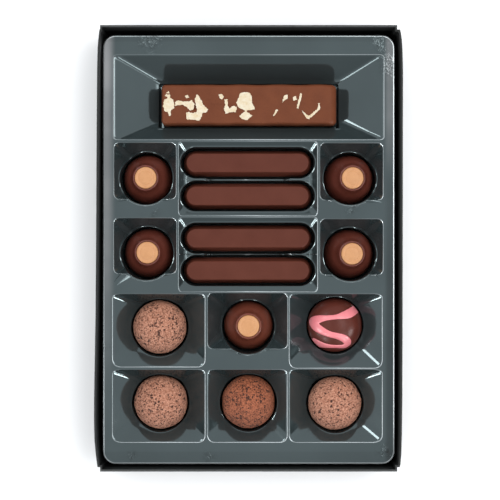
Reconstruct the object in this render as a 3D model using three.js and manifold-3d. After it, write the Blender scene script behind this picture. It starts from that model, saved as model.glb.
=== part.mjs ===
// A shallow card box with no lid, a vacuum-formed plastic tray and the chocolates in its pockets.
// Millimetres. +Z up, +X to the right and +Y to the far end, where the nougat bar lies. The origin
// is the middle of the box's underside.
import * as THREE from "three";
import { LoftGeometry } from "three/addons/geometries/LoftGeometry.js";
import { mergeVertices } from "three/addons/utils/BufferGeometryUtils.js";
import Module from "manifold-3d";

const wasm = await Module();
wasm.setup();

// Heights above the table
const CARD_THICKNESS = 1;
const RIM_Z = 33;
const FLANGE_Z = 26;
const FLOOR_Z = 2.1;
const SHEET = 0.8;
const GAP = 0.3;

// Card box: the end walls are straight, the long walls bow outwards
const END_Y = [-112.65, 112.65];
const END_WALL_X = [-74.9, 75.0];
const LEFT_WALL = [[110.4, -75.2], [105, -75.8], [90, -76.4], [25, -76.8], [-35, -77.2],
  [-75, -77.9], [-97, -77.7], [-110.4, -76.2]];
const RIGHT_WALL = [[-110.4, 76.3], [-104, 77.1], [-75, 77.6], [0, 77.8], [70, 77.9], [92, 77.9],
  [105, 77.4], [110.4, 76.5]];
const BOW_STEPS = 14;

// Tray flange
const FLANGE = { x: [-74.4, 74.7], y: [-110.2, 108.9], corner: 6.6 };
const RIM_CORNER = 2.6;

// Sloping pockets for the round pieces. The insets say how far the left, right, near and far walls
// come in over the depth of the slope.
const FUNNEL_DEPTH = 8.8;
const LEDGE_CORNER = 1.6;
const SEAT_TOP_DROP = 3.5;
const SEAT_TOP_RADIUS = 15.2;
const SEAT_FLOOR_RADIUS = 13.5;
const LEFT_X = [-69.3, -22.3];
const MIDDLE_X = [-20.8, 19.6];
const RIGHT_X = [20.9, 68.1];
const BALL_POCKETS = [
  { rimX: LEFT_X, rimY: [-60.4, -23.3], centre: [-45.9, -40.8], inset: [11, 9, 9.8, 4.5] },
  { rimX: RIGHT_X, rimY: [-61.0, -23.3], centre: [44.6, -39.7], inset: [9, 11, 9.8, 4.5] },
  { rimX: LEFT_X, rimY: [-98.9, -61.9], centre: [-45.4, -79.6], inset: [11.5, 9, 9, 4.8] },
  { rimX: MIDDLE_X, rimY: [-98.9, -61.9], centre: [-0.1, -79.4], inset: [9, 9, 9, 4.8] },
  { rimX: RIGHT_X, rimY: [-98.9, -61.9], centre: [44.6, -80.1], inset: [9, 11.5, 9, 4.8] },
];

// Pockets for the ringed domes: a square funnel and a round seat that bulges past its near side
const DOME_SEAT_RADIUS = 13.7;
const DOME_FLOOR_Z = 5.4;
const DOME_FUNNEL_DEPTH = 13;
const DOME_FUNNEL_INSET = 6.75;
const DOME_POCKETS = [
  { rimX: [-68.7, -37.0], rimY: [25.2, 54.0], centre: [-52.6, 36.0] },
  { rimX: [-68.8, -36.8], rimY: [-12.9, 15.5], centre: [-52.2, -2.5] },
  { rimX: [36.5, 68.7], rimY: [24.7, 53.8], centre: [52.1, 35.9] },
  { rimX: [36.5, 68.7], rimY: [-13.4, 15.0], centre: [52.1, -3.0] },
  { rimX: [-20.9, 19.9], rimY: [-51.2, -22.8], centre: [-0.2, -40.3] },
];

// Long pocket for the nougat bar
const BAR_RIM = { x: [-68.7, 68.8], y: [55.6, 98.7], corner: 2 };
const BAR_LEDGE = { x: [-45.6, 47.2], y: [66.8, 85.4], corner: 1.2 };
const BAR_LEDGE_Z = 15;
const BAR_SEAT = { x: [-46.4, 46.6], y: [61.9, 85.4], corner: 1 };
const BAR_SEAT_Z = 12.4;

// Two recesses, each with a pair of round-ended seats and a lowered ridge between them
const BATON_RECESSES = [
  { rimX: [-35.7, 35.2], rimY: [16.8, 54.5], seatX: -0.5, seats: [43.9, 26.9] },
  { rimX: [-35.7, 35.2], rimY: [-22.0, 15.7], seatX: -0.3, seats: [5.2, -11.4] },
];
const RECESS_DEPTH = 4;
const RECESS_INSET = [3, 4.5];
const SEAT_LENGTH = 68.8;
const SEAT_WIDTH = 15.8;
const SEAT_TAPER = 0.7;
const BATON_SEAT_Z = 12.5;
const RIDGE_NOTCH = { x: [-22, 21], z: 17 };

// The tray is a joined set of cells, one for each pocket, that meet along the dividers. Each cell
// reaches to these lines or to the flange's edge.
const FAR = 90;
const CELL_Y = { bar: 55.05, upperDomes: 19.0, batons: 16.25, balls: -22.4, nearBalls: -61.15 };
const CELL_X = { batons: [-36.35, 35.85], balls: [-21.55, 20.25] };

// Chocolates
const BALL_RADIUS = 14.05;
const BALL_LUMP = 0.25;
const DOME_PROFILE = [[0, 0], [11.6, 0], [12.8, 1.4], [12.75, 3.6], [11.9, 7.4], [10.0, 10.6],
  [8.6, 11.9], [7.0, 12.3], [6.5, 13.0], [6.4, 15.2], [5.8, 15.6]];
const DISC_RADIUS = 5.5;
const DISC_RECESS = 1.1;
const DISC_LEAN = [[-0.1, 0.3], [0.3, 0.3], [0.9, 0.3], [0.8, 0.2], [0.2, 0.3]];
const BATON_SECTIONS = [[66.0, 12.9, 0], [66.6, 13.5, 1.2], [65.4, 12.3, 5.2], [63.0, 9.8, 9.0],
  [62.0, 8.8, 9.5]];
const BAR_SIZE = [89.6, 20.6, 13];
const BAR_CENTRE = [0.25, 73.6];
const BAR_BEVEL = 1.6;

// Nougat shards that show in the bar's top face, as outlines from the bar's middle
const SHARD_DEPTH = 2.5;
const SHARDS = [
  [[-43.0, 4.2], [-41.6, 6.4], [-40.2, 3.2], [-38.6, 1.4], [-38.4, -2.0], [-40.0, -3.2],
    [-40.2, -5.0], [-42.0, -2.4], [-43.6, -1.8]],
  [[-38.0, 0.2], [-37.2, 2.0], [-33.4, 1.8], [-29.4, 2.6], [-27.6, 0.4], [-28.4, -2.6],
    [-31.8, -3.0], [-35.2, -1.4]],
  [[-27.0, 2.6], [-25.4, 4.6], [-23.2, 2.4], [-21.8, -1.4], [-19.8, -3.2], [-22.0, -5.2],
    [-24.4, -8.4], [-31.0, -7.4], [-31.2, -5.0], [-26.2, -4.4], [-25.4, -2.6]],
  [[-13.2, -0.8], [-10.0, -1.4], [-8.2, -2.2], [-9.6, -4.0], [-12.8, -4.4]],
  [[-5.6, 0.4], [-4.2, 4.6], [0.2, 5.2], [1.8, 2.6], [3.2, -3.0], [0.2, -4.4], [2.2, -6.2],
    [-0.4, -8.2], [-3.4, -7.4], [-2.0, -3.8], [-4.8, -2.4]],
  [[27.0, -3.6], [29.4, -6.0], [32.8, -3.4], [34.8, -0.8], [34.6, 1.0], [36.2, -1.4],
    [33.4, -5.2], [30.0, -7.8]],
];

// Poured zigzag on the smooth dome, from its middle, with the width of the stream at each point
const STREAM_HEIGHT = 0.8;
const STREAM = [[10.6, 7.6, 3.8], [5.6, 5.6, 3.2], [0.2, 4.4, 2.6], [-5.0, 3.6, 2.7],
  [-9.4, 3.0, 3.2], [-11.4, 1.4, 3.8], [-9.4, -1.6, 3.0], [-4.8, -4.2, 2.6], [0.4, -5.4, 2.6],
  [4.6, -6.6, 2.8], [8.2, -8.8, 3.2], [5.4, -10.8, 2.4], [0.2, -11.0, 2.0], [-5.0, -10.4, 2.4],
  [-9.8, -9.0, 2.4]];

const middle = ([low, high]) => (low + high) / 2;
const grow = ([low, high], by) => [low - by, high + by];

// Points round a rectangle with rounded corners, anticlockwise
function roundedRectangle(x, y, radius, steps = 3) {
  const corners = [[x[1], y[1]], [x[0], y[1]], [x[0], y[0]], [x[1], y[0]]];
  return corners.flatMap(([cx, cy], quarter) => {
    const inX = cx - radius * Math.sign(cx - middle(x));
    const inY = cy - radius * Math.sign(cy - middle(y));
    return Array.from({ length: steps + 1 }, (_, i) => {
      const angle = (quarter + i / steps) * Math.PI / 2;
      return new THREE.Vector2(inX + radius * Math.cos(angle), inY + radius * Math.sin(angle));
    });
  });
}

// Points round a circle, anticlockwise
function circle([x, y], radius, steps = 26) {
  return Array.from({ length: steps }, (_, i) => {
    const angle = i / steps * Math.PI * 2;
    return new THREE.Vector2(x + radius * Math.cos(angle), y + radius * Math.sin(angle));
  });
}

// Points round a bar with half-round ends, anticlockwise
function stadium([x, y], length, width, steps = 9) {
  const reach = (length - width) / 2;
  return [-1, 1].flatMap((side) => Array.from({ length: steps + 1 }, (_, i) => {
    const angle = (i / steps - 0.5) * Math.PI + (side < 0 ? Math.PI : 0);
    return new THREE.Vector2(x + side * reach + width / 2 * Math.cos(angle),
      y + width / 2 * Math.sin(angle));
  }));
}

// A closed body skinned through level outlines, each given with its height
function loft(levels) {
  const sections = levels.map(([outline, z]) => outline.map((p) => new THREE.Vector3(p.x, p.y, z)));
  return new LoftGeometry(sections, { capStart: true, capEnd: true });
}

// A closed geometry as a solid that can be joined and cut
function solid(geometry) {
  const bare = new THREE.BufferGeometry()
    .setAttribute("position", geometry.getAttribute("position"))
    .setIndex(geometry.index);
  const merged = mergeVertices(bare, 1e-4);
  return new wasm.Manifold(new wasm.Mesh({
    numProp: 3,
    vertProperties: new Float32Array(merged.attributes.position.array),
    triVerts: new Uint32Array(merged.index.array),
  }));
}

// A solid back as a geometry
function geometryOf(body) {
  const mesh = body.getMesh();
  return new THREE.BufferGeometry()
    .setAttribute("position", new THREE.BufferAttribute(mesh.vertProperties, 3))
    .setIndex(new THREE.BufferAttribute(mesh.triVerts, 1));
}

const box = new THREE.Group();

function addPiece(name, geometry, color, roughness) {
  geometry.computeVertexNormals();
  const piece = new THREE.Mesh(geometry, new THREE.MeshStandardMaterial({ color, roughness }));
  piece.name = name;
  box.add(piece);
}

// Outline of the card walls, moved in by an even distance
function cardOutline(inset) {
  const bow = (points, side) => new THREE.SplineCurve(
    points.map(([y, x]) => new THREE.Vector2(x - side * inset, y)),
  ).getPoints(BOW_STEPS);
  const left = bow(LEFT_WALL, -1);
  const right = bow(RIGHT_WALL, 1);
  for (const wall of [left, right]) {
    wall[0].y -= inset * Math.sign(wall[0].y);
    wall.at(-1).y -= inset * Math.sign(wall.at(-1).y);
  }
  const cornerY = grow(END_Y, -inset);
  const endX = grow(END_WALL_X, -inset);
  return [
    new THREE.Vector2(endX[0], cornerY[1]),
    new THREE.Vector2(endX[0], left[0].y),
    ...left,
    new THREE.Vector2(endX[0], left.at(-1).y),
    new THREE.Vector2(endX[0], cornerY[0]),
    new THREE.Vector2(endX[1], cornerY[0]),
    new THREE.Vector2(endX[1], right[0].y),
    ...right,
    new THREE.Vector2(endX[1], right.at(-1).y),
    new THREE.Vector2(endX[1], cornerY[1]),
  ];
}

function addCardBox() {
  const outer = new THREE.ExtrudeGeometry(new THREE.Shape(cardOutline(0)),
    { depth: RIM_Z, bevelEnabled: false });
  const inner = new THREE.ExtrudeGeometry(new THREE.Shape(cardOutline(CARD_THICKNESS)),
    { depth: RIM_Z, bevelEnabled: false }).translate(0, 0, CARD_THICKNESS);
  addPiece("card_box", geometryOf(solid(outer).subtract(solid(inner))), 0x0e1010, 0.75);
}

// One pocket as outlines at falling heights, moved out by the thickness of the sheet or not at all
function ballPocket({ rimX, rimY, centre, inset: [left, right, near, far] }, wall) {
  const ledge = [[rimX[0] + left - wall, rimX[1] - right + wall],
    [rimY[0] + near - wall, rimY[1] - far + wall]];
  const ledgeZ = FLANGE_Z - FUNNEL_DEPTH - wall;
  return [
    loft([
      [roundedRectangle(...ledge, LEDGE_CORNER), ledgeZ],
      [roundedRectangle(grow(rimX, wall), grow(rimY, wall), RIM_CORNER), FLANGE_Z - wall],
    ]),
    loft([
      [circle(centre, SEAT_FLOOR_RADIUS + wall), FLOOR_Z - wall],
      [circle(centre, SEAT_TOP_RADIUS + wall), FLANGE_Z - wall - SEAT_TOP_DROP],
    ]),
  ];
}

function domePocket({ rimX, rimY, centre }, wall) {
  const ledge = [grow(rimX, wall - DOME_FUNNEL_INSET), grow(rimY, wall - DOME_FUNNEL_INSET)];
  return [
    loft([
      [roundedRectangle(...ledge, LEDGE_CORNER), FLANGE_Z - DOME_FUNNEL_DEPTH - wall],
      [roundedRectangle(grow(rimX, wall), grow(rimY, wall), RIM_CORNER), FLANGE_Z - wall],
    ]),
    loft([
      [circle(centre, DOME_SEAT_RADIUS - 0.4 + wall), DOME_FLOOR_Z - wall],
      [circle(centre, DOME_SEAT_RADIUS + wall), FLANGE_Z - wall],
    ]),
  ];
}

function barPocket(wall) {
  const ring = ({ x, y, corner }) => roundedRectangle(grow(x, wall), grow(y, wall), corner);
  return [
    loft([[ring(BAR_LEDGE), BAR_LEDGE_Z - wall], [ring(BAR_RIM), FLANGE_Z - wall]]),
    loft([[ring(BAR_SEAT), BAR_SEAT_Z - wall], [ring(BAR_SEAT), BAR_LEDGE_Z + 5.2 - wall]]),
  ];
}

function batonRecess({ rimX, rimY, seatX, seats }, wall) {
  const ledge = [grow(rimX, wall - RECESS_INSET[0]), grow(rimY, wall - RECESS_INSET[1])];
  const recess = loft([
    [roundedRectangle(...ledge, LEDGE_CORNER), FLANGE_Z - RECESS_DEPTH - wall],
    [roundedRectangle(grow(rimX, wall), grow(rimY, wall), RIM_CORNER), FLANGE_Z - wall],
  ]);
  if (wall > 0) {
    const reach = SEAT_WIDTH / 2 + wall;
    const block = (by) => roundedRectangle(grow([seatX, seatX], SEAT_LENGTH / 2 + wall - by),
      grow([seats[1], seats[0]], reach - by), reach - by);
    return [recess, loft([
      [block(SEAT_TAPER), BATON_SEAT_Z - wall],
      [block(0), FLANGE_Z - RECESS_DEPTH + 1],
    ])];
  }
  const seat = (y, by) => stadium([seatX, y], SEAT_LENGTH - 2 * by, SEAT_WIDTH - 2 * by);
  return [recess, ...seats.map((y) => loft([
    [seat(y, SEAT_TAPER), BATON_SEAT_Z],
    [seat(y, 0), FLANGE_Z - 0.5],
  ]))];
}

// The gap in the ridge between the two seats of a recess
function ridgeNotch({ seats }) {
  const y = grow([seats[1], seats[0]], -SEAT_WIDTH / 2 + 1.5);
  const slope = 2.5;
  return loft([
    [roundedRectangle(grow(RIDGE_NOTCH.x, -slope), y, 0.3, 1), RIDGE_NOTCH.z],
    [roundedRectangle(grow(RIDGE_NOTCH.x, slope), y, 0.3, 1), FLANGE_Z],
  ]);
}

// One cell of the tray: its share of the flange, joined to its pocket's shell and hollowed out
function addCell(name, x, y, pocket, notches = []) {
  const [width, depth] = [x, y].map(([low, high]) => high - low - GAP);
  const share = solid(new THREE.BoxGeometry(width, depth, 2 * RIM_Z)
    .translate(middle(x), middle(y), RIM_Z / 2));
  const outline = roundedRectangle(FLANGE.x, FLANGE.y, FLANGE.corner, 6);
  let cell = solid(loft([[outline, FLANGE_Z - SHEET], [outline, FLANGE_Z]]));
  for (const shape of pocket(SHEET)) cell = cell.add(solid(shape));
  cell = cell.intersect(share);
  for (const shape of [...pocket(0), ...notches]) cell = cell.subtract(solid(shape));
  addPiece(name, geometryOf(cell), 0x4b585b, 0.25);
}

function addTray() {
  const [left, right] = CELL_X.batons;
  const outer = [[-FAR, left], [right, FAR]];
  const columns = [[-FAR, CELL_X.balls[0]], CELL_X.balls, [CELL_X.balls[1], FAR]];
  const rows = [[CELL_Y.nearBalls, CELL_Y.balls], [-2 * FAR, CELL_Y.nearBalls]];
  const domeRows = [[CELL_Y.upperDomes, CELL_Y.bar], [CELL_Y.balls, CELL_Y.upperDomes]];
  const batonRows = [[CELL_Y.batons, CELL_Y.bar], [CELL_Y.balls, CELL_Y.batons]];
  addCell("tray_cell_bar", [-FAR, FAR], [CELL_Y.bar, 2 * FAR], barPocket);
  BATON_RECESSES.forEach((recess, i) => addCell("tray_cell_batons_" + (i + 1), CELL_X.batons,
    batonRows[i], (wall) => batonRecess(recess, wall), [ridgeNotch(recess)]));
  const domePlaces = [[outer[0], domeRows[0]], [outer[0], domeRows[1]], [outer[1], domeRows[0]],
    [outer[1], domeRows[1]], [columns[1], rows[0]]];
  DOME_POCKETS.forEach((shape, i) => addCell("tray_cell_dome_" + (i + 1), ...domePlaces[i],
    (wall) => domePocket(shape, wall)));
  const ballPlaces = [[columns[0], rows[0]], [columns[2], rows[0]], ...columns.map((x) => [x, rows[1]])];
  BALL_POCKETS.forEach((shape, i) => addCell("tray_cell_ball_" + (i + 1), ...ballPlaces[i],
    (wall) => ballPocket(shape, wall)));
}

// A polygon moved out sideways by an even distance
function offsetOutline(points, distance) {
  return points.map((p, i) => {
    const before = points.at(i - 1);
    const after = points[(i + 1) % points.length];
    const a = new THREE.Vector2(p[0] - before[0], p[1] - before[1]).normalize();
    const b = new THREE.Vector2(after[0] - p[0], after[1] - p[1]).normalize();
    const out = new THREE.Vector2(a.y + b.y, -a.x - b.x).normalize();
    const reach = distance / Math.max(out.dot(new THREE.Vector2(a.y, -a.x)), 0.6);
    return new THREE.Vector2(p[0] + out.x * reach, p[1] + out.y * reach);
  });
}

function shardBody(outline, thickness) {
  const points = THREE.ShapeUtils.isClockWise(outline) ? outline.reverse() : outline;
  return new THREE.ExtrudeGeometry(new THREE.Shape(points), { depth: thickness, bevelEnabled: false });
}

function addNougatBar() {
  const [length, width, height] = BAR_SIZE;
  const baseZ = BAR_SEAT_Z + GAP;
  const ring = (by) => roundedRectangle(
    grow([BAR_CENTRE[0] - length / 2, BAR_CENTRE[0] + length / 2], -by),
    grow([BAR_CENTRE[1] - width / 2, BAR_CENTRE[1] + width / 2], -by), 2, 3);
  let bar = solid(loft([
    [ring(0.6), baseZ], [ring(0), baseZ + 0.8], [ring(0.1), baseZ + height - BAR_BEVEL],
    [ring(0.5), baseZ + height - BAR_BEVEL / 3], [ring(BAR_BEVEL), baseZ + height],
  ]));
  SHARDS.forEach((points, i) => {
    const clockwise = THREE.ShapeUtils.isClockWise(points.map(([x, y]) => new THREE.Vector2(x, y)));
    const turned = clockwise ? [...points].reverse() : points;
    const topZ = baseZ + height;
    const pit = shardBody(offsetOutline(turned, GAP), SHARD_DEPTH + GAP + 1)
      .translate(...BAR_CENTRE, topZ - SHARD_DEPTH - GAP);
    bar = bar.subtract(solid(pit));
    const shard = shardBody(offsetOutline(turned, 0), SHARD_DEPTH)
      .translate(...BAR_CENTRE, topZ - SHARD_DEPTH + 0.1);
    addPiece("nougat_" + (i + 1), geometryOf(solid(shard)), 0xfaf0d8, 0.6);
  });
  addPiece("nougat_bar", geometryOf(bar), 0x86492f, 0.4);
}

function addBatons() {
  BATON_RECESSES.flatMap(({ seatX, seats }) => seats.map((y) => [seatX, y])).forEach((place, i) => {
    const levels = BATON_SECTIONS.map(([length, width, z]) =>
      [stadium(place, length, width, 7), BATON_SEAT_Z + GAP + z]);
    addPiece("baton_" + (i + 1), loft(levels), 0x6b3a30, 0.35);
  });
}

function addDomes() {
  const topZ = DOME_PROFILE.at(-1)[1];
  const profile = [...DOME_PROFILE, [DISC_RADIUS + GAP, topZ], [DISC_RADIUS + GAP, topZ - DISC_RECESS],
    [0, topZ - DISC_RECESS]].map(([r, z]) => new THREE.Vector2(r, z));
  DOME_POCKETS.forEach(({ centre }, i) => {
    const [leanX, leanY] = DISC_LEAN[i];
    const lean = new THREE.Matrix4().set(
      1, 0, leanX / topZ, centre[0], 0, 1, leanY / topZ, centre[1],
      0, 0, 1, DOME_FLOOR_Z + GAP, 0, 0, 0, 1);
    const body = new THREE.LatheGeometry(profile, 22).rotateX(Math.PI / 2).applyMatrix4(lean);
    addPiece("dome_" + (i + 1), geometryOf(solid(body)), 0x3c1c17, 0.3);
    const disc = loft([
      [circle([0, 0], DISC_RADIUS, 18), topZ - DISC_RECESS + GAP],
      [circle([0, 0], DISC_RADIUS, 18), topZ + 0.2],
      [circle([0, 0], DISC_RADIUS - 0.5, 18), topZ + 0.5],
    ]).applyMatrix4(lean);
    addPiece("caramel_" + (i + 1), disc, 0xe4a873, 0.35);
  });
}

// A ball with shallow lumps, its rows of points running round the vertical axis
function lumpyBall(radius, phase) {
  const ball = new THREE.SphereGeometry(radius, 20, 12).rotateX(Math.PI / 2);
  const place = ball.attributes.position;
  for (let i = 0; i < place.count; i += 1) {
    const [x, y, z] = [place.getX(i), place.getY(i), place.getZ(i)];
    const lump = Math.sin(0.33 * x + phase) * Math.cos(0.29 * y - 2 * phase) + Math.sin(0.4 * z + phase);
    const scale = 1 + BALL_LUMP * lump / 2 / radius - BALL_LUMP / radius;
    place.setXYZ(i, x * scale, y * scale, z * scale);
  }
  return ball;
}

function addTruffles() {
  const truffles = [BALL_POCKETS[0], ...BALL_POCKETS.slice(2)];
  truffles.forEach(({ centre }, i) => {
    const ball = lumpyBall(BALL_RADIUS, i + 1).translate(...centre, FLOOR_Z + GAP + BALL_RADIUS);
    addPiece("truffle_" + (i + 1), geometryOf(solid(ball)), 0xb67f69, 0.9);
  });
}

// Height of the smooth dome's surface above its middle level, at a distance from its axis
function smoothDomeHeight(distance) {
  const t = Math.min(distance / BALL_RADIUS, 1);
  return 0.93 * BALL_RADIUS * (1 - t ** 2.3) ** (1 / 2.1);
}

function addSmoothDome() {
  const { centre } = BALL_POCKETS[1];
  const middleZ = FLOOR_Z + GAP + 13;
  const upper = Array.from({ length: 9 }, (_, i) => {
    const r = BALL_RADIUS * Math.cos(i / 8 * Math.PI / 2);
    return new THREE.Vector2(i === 8 ? 0 : r, middleZ + smoothDomeHeight(r));
  });
  const lower = [[0, FLOOR_Z + GAP], [9.5, FLOOR_Z + GAP], [12.2, FLOOR_Z + 3.4], [13.4, FLOOR_Z + 8]]
    .map(([r, z]) => new THREE.Vector2(r, z));
  const body = new THREE.LatheGeometry([...lower, ...upper], 28).rotateX(Math.PI / 2);
  const path = new THREE.CatmullRomCurve3(STREAM.map((p) => new THREE.Vector3(...p)), false, "centripetal");
  const steps = 38;
  const sections = Array.from({ length: steps + 1 }, (_, i) => {
    const point = path.getPoint(i / steps);
    const along = path.getTangent(i / steps);
    const side = new THREE.Vector2(-along.y, along.x).normalize();
    const across = [[-0.5, 0], [-0.3, 0.75], [0, 1], [0.3, 0.75], [0.5, 0], [0.3, -1], [-0.3, -1]];
    return across.map(([u, rise]) => {
      const spot = new THREE.Vector2(point.x, point.y).addScaledVector(side, u * point.z);
      spot.clampLength(0, 0.985 * BALL_RADIUS);
      return new THREE.Vector3(spot.x, spot.y,
        middleZ + smoothDomeHeight(spot.length()) + rise * STREAM_HEIGHT - 0.05);
    }).reverse();
  });
  const stream = new LoftGeometry(sections, { capStart: true, capEnd: true });
  const whole = solid(body).add(solid(stream)).translate([...centre, 0]);
  addPiece("zigzag_dome", geometryOf(whole), 0x5c2f26, 0.3);
}

addCardBox();
addTray();
addNougatBar();
addBatons();
addDomes();
addTruffles();
addSmoothDome();

export default box;
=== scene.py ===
"""Looks of the open box of chocolate pralines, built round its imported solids.

Shapes are worked out in millimetres, in the frame of the solids, and become metres in the meshes.
Each shape is a grid of points: columns run anticlockwise round it and rows run inwards or upwards,
so that its faces point outwards.
"""
import math

import bmesh
import bpy
import numpy as np
from mathutils.geometry import tessellate_polygon
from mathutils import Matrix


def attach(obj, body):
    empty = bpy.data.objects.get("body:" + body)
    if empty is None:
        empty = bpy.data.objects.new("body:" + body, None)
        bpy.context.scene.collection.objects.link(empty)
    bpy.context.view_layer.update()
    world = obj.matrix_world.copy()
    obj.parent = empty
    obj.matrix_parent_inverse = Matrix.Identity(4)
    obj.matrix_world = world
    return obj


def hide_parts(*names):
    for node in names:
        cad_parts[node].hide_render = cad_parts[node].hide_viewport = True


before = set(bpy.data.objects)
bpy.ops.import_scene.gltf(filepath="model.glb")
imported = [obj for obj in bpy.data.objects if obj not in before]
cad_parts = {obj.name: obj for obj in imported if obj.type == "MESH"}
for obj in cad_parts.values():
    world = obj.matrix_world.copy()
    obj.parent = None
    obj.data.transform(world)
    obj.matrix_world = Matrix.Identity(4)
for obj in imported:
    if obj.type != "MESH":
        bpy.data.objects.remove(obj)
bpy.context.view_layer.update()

MM = 0.001
FLANGE_Z = 26.0
SEED = 15

# Camera above the box, and the width of its picture at a distance, in millimetres
CAMERA_PLACE = (0.75, -0.85, 633.0)
SENSOR_WIDTH = 36.0
PICTURE_WIDTH = 252.25
PICTURE_DISTANCE = 600.0

# Radiance of the room, and of its dark near side
ROOM_LIGHT = 1.3
NEAR_LIGHT = 0.6

# Places and radii of the wrinkled patches on the tray's flange
WRINKLES = [
    ((-50, 105, 26), 9), ((66, 104, 26), 7), ((72, 94, 26), 9), ((53, 19.5, 26), 6), ((-50, 19, 26), 7),
    ((-60, -106.5, 26), 6), ((-20, -106.5, 26), 5), ((-73, -52, 26), 6), ((70, -104, 26), 7),
]


# Paths and outlines

def smooth_path(points, steps):
    """Catmull-Rom curve through the points: the cubic of each span, at evenly spaced steps."""
    p = np.asarray(points, float)
    p = np.vstack([2 * p[0] - p[1], p, 2 * p[-1] - p[-2]])
    t = np.linspace(0, len(p) - 3, steps)
    span = np.minimum(t.astype(int), len(p) - 4)
    u = (t - span)[:, None]
    a, b, c, d = (p[span + i] for i in range(4))
    return 0.5 * (2 * b + (c - a) * u + (2 * a - 5 * b + 4 * c - d) * u ** 2
                  + (3 * b - a - 3 * c + d) * u ** 3)


def smooth_max(a, b, width):
    """The larger of two values, with the step between them rounded over the width."""
    near = np.clip(1 - np.abs(a - b) / width, 0, 1)
    return np.maximum(a, b) + near ** 2 * width / 4


def smooth_min(a, b, width):
    """The smaller of two values, with the step between them rounded over the width."""
    return -smooth_max(-a, -b, width)


def waves(place, length, count, seed):
    """Seeded unevenness: the mean of many sine waves with random directions and phases."""
    draw = np.random.default_rng(seed)
    along = draw.normal(size=(count, place.shape[-1]))
    along *= 2 * np.pi / length / np.linalg.norm(along, axis=1, keepdims=True)
    along *= draw.uniform(0.7, 1.6, (count, 1))
    phase = draw.uniform(0, 2 * np.pi, count)
    return np.sin(place @ along.T + phase).sum(axis=-1) / math.sqrt(count)


def turns(corner, long_side, short_side):
    """Places round an outline as numbers from 0 to 8: corners 0-1, 2-3, 4-5 and 6-7, sides between."""
    places = []
    for quarter in range(4):
        side = long_side if quarter % 2 == 0 else short_side
        bend = (1 - np.cos(np.pi * np.linspace(0, 1, side + 2)[1:-1])) / 2
        places += [2 * quarter + np.linspace(0, 1, corner), 2 * quarter + 1 + bend]
    return np.concatenate(places)


def rectangle(places, x, y, radius):
    """Rounded rectangle: a corner's arc for its first half turn, then a straight side to the next."""
    radius = np.broadcast_to(radius, 4)
    quarter = (places // 2).astype(int) % 4
    local = places - 2 * (places // 2)
    side_x = np.array([x[1], x[0], x[0], x[1]])
    side_y = np.array([y[1], y[1], y[0], y[0]])
    in_x = side_x - radius * np.array([1, -1, -1, 1])
    in_y = side_y - radius * np.array([1, 1, -1, -1])

    def corner_point(q, share):
        angle = np.radians(90 * (q + share))
        return np.stack([in_x[q] + radius[q] * np.cos(angle),
                         in_y[q] + radius[q] * np.sin(angle)], axis=1)

    start = corner_point(quarter, np.clip(local, 0, 1))
    after = (quarter + 1) % 4
    end = corner_point(after, np.zeros(len(places)))
    share = np.clip(local - 1, 0, 1)[:, None]
    return start + (end - start) * share


def stadium(places, centre, reach, radius, angles=(50, 90, 90, 130, 230, 270, 270, 310, 410)):
    """Half circles on the ends of two straight sides; with no reach it is a circle."""
    knots = np.arange(9)
    angle = np.radians(np.interp(places, knots, angles))
    side = np.interp(places, knots, (1, 1, -1, -1, -1, -1, 1, 1, 1))
    return np.stack([centre[0] + reach * side + radius * np.cos(angle),
                     centre[1] + radius * np.sin(angle)], axis=1)


def grow(bounds, by):
    """Two bounds, each moved outwards."""
    return (bounds[0] - by, bounds[1] + by)


# Meshes

def ring_faces(rows, columns):
    """Four-cornered faces between the rows of a grid whose columns close on themselves."""
    row, column = np.meshgrid(np.arange(rows - 1), np.arange(columns), indexing="ij")
    here = row * columns + column
    beside = row * columns + (column + 1) % columns
    return np.stack([here, beside, beside + columns, here + columns], axis=-1).reshape(-1, 4)


def closed_body(rings):
    """Faces of a body of stacked rings, with its first and last ring filled by one face each."""
    rows, columns = rings.shape[:2]
    faces = ring_faces(rows, columns).tolist()
    faces.append(list(range(columns))[::-1])
    faces.append(list(range((rows - 1) * columns, rows * columns)))
    return rings.reshape(-1, 3), faces


def add_piece(name, points, faces, material, slot, stands_for=()):
    """A smooth piece from points in millimetres, in place of the solids that it stands for."""
    mesh = bpy.data.meshes.new(name)
    mesh.from_pydata((np.asarray(points) * MM).tolist(), [], faces)
    mesh.shade_smooth()
    mesh.materials.append(material)
    piece = bpy.data.objects.new(name, mesh)
    bpy.context.scene.collection.objects.link(piece)
    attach(piece, "root")
    if stands_for:
        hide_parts(*stands_for)
    return piece


def face_outwards(piece, flat):
    """Turns the faces of a closed piece outwards, and leaves them flat or smooth."""
    mesh = bmesh.new()
    mesh.from_mesh(piece.data)
    bmesh.ops.recalc_face_normals(mesh, faces=mesh.faces)
    for face in mesh.faces:
        face.smooth = not flat
    mesh.to_mesh(piece.data)
    mesh.free()


# Materials

def new_group(name, inputs, outputs):
    """An empty shader group with named inputs (kind, start value) and outputs (kind)."""
    group = bpy.data.node_groups.new(name, "ShaderNodeTree")
    for label, (kind, value) in inputs.items():
        socket = group.interface.new_socket(label, in_out="INPUT", socket_type="NodeSocket" + kind)
        socket.default_value = value
    for label, kind in outputs.items():
        group.interface.new_socket(label, in_out="OUTPUT", socket_type="NodeSocket" + kind)
    return group, group.nodes.new("NodeGroupInput"), group.nodes.new("NodeGroupOutput")


def node(tree, kind, settings=(), links=()):
    """A node with its settings and its linked inputs; a socket links and any other value is set."""
    made = tree.nodes.new("ShaderNode" + kind)
    for key, value in dict(settings).items():
        setattr(made, key, value)
    for key, value in dict(links).items():
        if isinstance(value, bpy.types.NodeSocket):
            tree.links.new(value, made.inputs[key])
        else:
            made.inputs[key].default_value = value
    return made


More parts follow.
